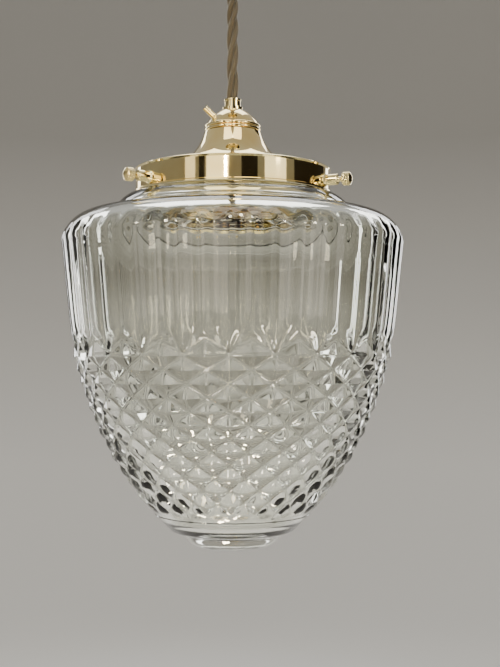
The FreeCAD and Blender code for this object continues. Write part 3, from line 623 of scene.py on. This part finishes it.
def thumbScrew(side, angle):
    s = screwSettings
    piece = turn(f"thumb_screw_{side}", outline(s["profile"]), s["steps"], closed=False)
    mesh = piece.data
    co = np.array([v.co for v in mesh.vertices]) / mm
    radius = np.hypot(co[:, 0], co[:, 1])
    theta = np.arctan2(co[:, 1], co[:, 0])
    wayOut = -co[:, 2]
    low, high = s["knurlBand"]
    rim = (radius > s["knurlFrom"]) & (wayOut > low) & (wayOut < high)
    ridge = np.abs(((theta * s["knurls"] / (2 * math.pi)) % 1) * 2 - 1)
    scale = np.where(rim, 1 - s["knurlDepth"] * (1 - ridge) / radius.clip(1), 1)
    co[:, 0] *= scale
    co[:, 1] *= scale
    mesh.vertices.foreach_set("co", (co * mm).ravel())
    outward = Vector((math.cos(math.radians(angle)), math.sin(math.radians(angle)), 0))
    place = Matrix.Translation((0, 0, (neckTop - s["depth"]) * mm)) @ \
        Vector((0, 0, -1)).rotation_difference(outward).to_matrix().to_4x4()
    mesh.transform(place)
    standFor(piece, f"screw_{side}", "polished_brass", brass, f"gallery_screw_{side}")


for side, angle in screwSettings["angles"].items():
    thumbScrew(side, angle)
print("thumb screws made")


# floor and lights, in metres and degrees

stageSettings = {"floorDrop": 1.1, "floorRadius": 2.4, "sweep": 1.3, "sweepSteps": 12, "wallTop": 1.7,
                 "wallSteps": 96, "pale": "#F4F2EE",
                 "deep": "#AFACA7", "paleBelow": -0.75, "deepAbove": 0.5, "sky": "#B8B7B3", "skyStrength": 1.2}
lightSettings = {
    # name: (bearing, distance, height, aimed at, width, tall, brightness, spread, colour)
    "softLeft": (-113, 1.4, -0.1, -0.33, 0.62, 1.1, 2.3, 180, "#FFF3DC"),
    "stripLeft": (-145, 1.4, -0.1, -0.33, 0.3, 1.1, 1.5, 180, "#FFF6E6"),
    "softRight": (-46, 1.4, -0.1, -0.33, 0.66, 1.1, 2.0, 180, "#FFF6E6"),
    "paneLeft": (-121, 0.66, 0.8, -0.33, 0.5, 0.55, 3.4, 180, "#FFFBF2"),
    "paneRight": (-71, 0.66, 0.8, -0.33, 0.5, 0.55, 3.4, 180, "#FFFBF2"),
    "topBack": (84, 1.0, 1.35, -0.33, 1.4, 0.9, 4.0, 180, "#FFFFFF"),
    "rimRight": (52, 1.6, 0.1, -0.33, 0.3, 1.4, 5.0, 180, "#FFFFFF"),
    "rimLeft": (122, 1.6, 0.1, -0.33, 0.3, 1.4, 5.0, 180, "#FFFFFF"),
    "lampNear": (-103.6, 0.62, -0.18, -0.33, 0.022, 0.022, 700, 180, "#FFEBC4"),
    "lampBelow": (-140, 0.12, -0.95, -0.42, 0.08, 0.08, 300, 60, "#FFEBC4"),
    # spots on the pressed pattern, each seen as a glint in every facet
    "spotLeft": (-140, 1.1, 0.1, -0.4, 0.16, 0.16, 90, 20, "#FFF0D2"),
    "spotLowLeft": (-117, 1.0, -0.85, -0.4, 0.16, 0.16, 90, 22, "#FFF0D2"),
    "spotHigh": (-90, 1.0, 0.4, -0.4, 0.16, 0.16, 90, 20, "#FFF0D2"),
    "spotLowRight": (-68, 1.0, -0.8, -0.4, 0.16, 0.16, 90, 22, "#FFF0D2"),
    "spotRight": (-42, 1.1, 0.0, -0.4, 0.16, 0.16, 90, 20, "#FFF0D2"),
}
flagSettings = {
    # name: (bearing, distance, height, aimed at, width, tall), dark cards that only show as bands
    "flagFront": (-77, 1.3, -0.1, -0.33, 0.42, 1.2),
    "flagRight": (8, 1.35, -0.1, -0.33, 1.5, 1.3),
    "flagLeft": (-131, 1.35, -0.1, -0.33, 0.16, 1.2),
}


def stand(bearing, distance, height, aim):
    # a place round the light, turned to face a height on its axis
    angle = math.radians(bearing)
    position = Vector((distance * math.cos(angle), distance * math.sin(angle), height))
    facing = (Vector((0, 0, aim)) - position).to_track_quat("-Z", "Y")
    return Matrix.Translation(position) @ facing.to_matrix().to_4x4()


def paperSweep():
    # a floor that curves up into a wall all round, printed from pale below to grey overhead
    s = stageSettings
    bm = bmesh.new()
    low, reach = -s["floorDrop"], s["floorRadius"]
    profile = [(0, low), (reach, low)]
    profile += [(reach + s["sweep"] * math.sin(a), low + s["sweep"] * (1 - math.cos(a)))
                for a in np.linspace(0, math.pi / 2, s["sweepSteps"] + 1)[1:]]
    profile.append((reach + s["sweep"], s["wallTop"]))
    chain = [bm.verts.new((radius, 0, height)) for radius, height in profile]
    spine = [bm.edges.new(pair) for pair in zip(chain, chain[1:])]
    bmesh.ops.spin(bm, geom=chain + spine, cent=(0, 0, 0), axis=(0, 0, 1), angle=2 * math.pi,
                   steps=s["wallSteps"], use_merge=True)
    bmesh.ops.remove_doubles(bm, verts=bm.verts, dist=mm)
    floor = finishMesh("studioSweep", bm)
    material, tree, shader = newMaterial("paperMatt")
    height = addNode(tree, "ShaderNodeSeparateXYZ",
                     {"Vector": addNode(tree, "ShaderNodeTexCoord").outputs["Object"]}).outputs["Z"]
    share = addNode(tree, "ShaderNodeMapRange", {
        "Value": height, "From Min": s["paleBelow"], "From Max": s["deepAbove"]}).outputs["Result"]
    shade = ramp(tree, share, [(0.0, tone(s["pale"])), (1.0, tone(s["deep"]))])
    tree.links.new(shade, shader.inputs["Base Color"])
    shader.inputs["Roughness"].default_value = 0.9
    floor.data.materials.append(material)


def lamps():
    for name, (*place, width, tall, brightness, spread, colour) in lightSettings.items():
        lamp = bpy.data.lights.new(name, "AREA")
        lamp.shape, lamp.size, lamp.size_y = "RECTANGLE", width, tall
        half = math.radians(spread / 2)
        lamp.spread = 2 * half
        # power for the same brightness at any size and spread
        lamp.energy = brightness * math.pi * width * tall * (1 - half / math.tan(half))
        lamp.color = tone(colour)[:3]
        holder = bpy.data.objects.new(name, lamp)
        holder.matrix_world = stand(*place)
        holder.visible_camera = False
        bpy.context.scene.collection.objects.link(holder)


def flags():
    black, tree, shader = newMaterial("flagCloth")
    shader.inputs["Base Color"].default_value = tone("#17110C")
    shader.inputs["Roughness"].default_value = 1.0
    for name, (*place, width, tall) in flagSettings.items():
        bm = bmesh.new()
        bmesh.ops.create_grid(bm, x_segments=1, y_segments=1, size=0.5)
        bmesh.ops.scale(bm, vec=(width, tall, 1), verts=bm.verts)
        bmesh.ops.transform(bm, matrix=stand(*place), verts=bm.verts)
        flag = finishMesh(name, bm)
        flag.data.materials.append(black)
        flag.visible_camera = False


def sky():
    world = bpy.data.worlds.new("studioWorld")
    bpy.context.scene.world = world
    world.use_nodes = True
    backdrop = world.node_tree.nodes["Background"]
    backdrop.inputs["Color"].default_value = tone(stageSettings["sky"])
    backdrop.inputs["Strength"].default_value = stageSettings["skyStrength"]


# camera, in millimetres and degrees

cameraSettings = {"distance": 600, "bearing": -96, "eyeDepth": 145.8, "yaw": 0.93, "pitch": 1.41,
                  "lens": 58.1, "sensor": 36, "nearClip": 10}


def camera():
    s = cameraSettings
    bearing = math.radians(s["bearing"])
    data = bpy.data.cameras.new("camera")
    data.lens, data.sensor_width = s["lens"], s["sensor"]
    data.clip_start = s["nearClip"] * mm
    holder = bpy.data.objects.new("camera", data)
    holder.location = (s["distance"] * mm * math.cos(bearing), s["distance"] * mm * math.sin(bearing),
                       (neckTop - s["eyeDepth"]) * mm)
    heading = bearing + math.pi - math.radians(s["yaw"])
    pitch = math.radians(s["pitch"])
    look = Vector((math.cos(heading) * math.cos(pitch), math.sin(heading) * math.cos(pitch), math.sin(pitch)))
    holder.rotation_euler = look.to_track_quat("-Z", "Y").to_euler()
    bpy.context.scene.collection.objects.link(holder)
    bpy.context.scene.camera = holder


paperSweep()
lamps()
flags()
sky()
camera()
print("studio and camera made")
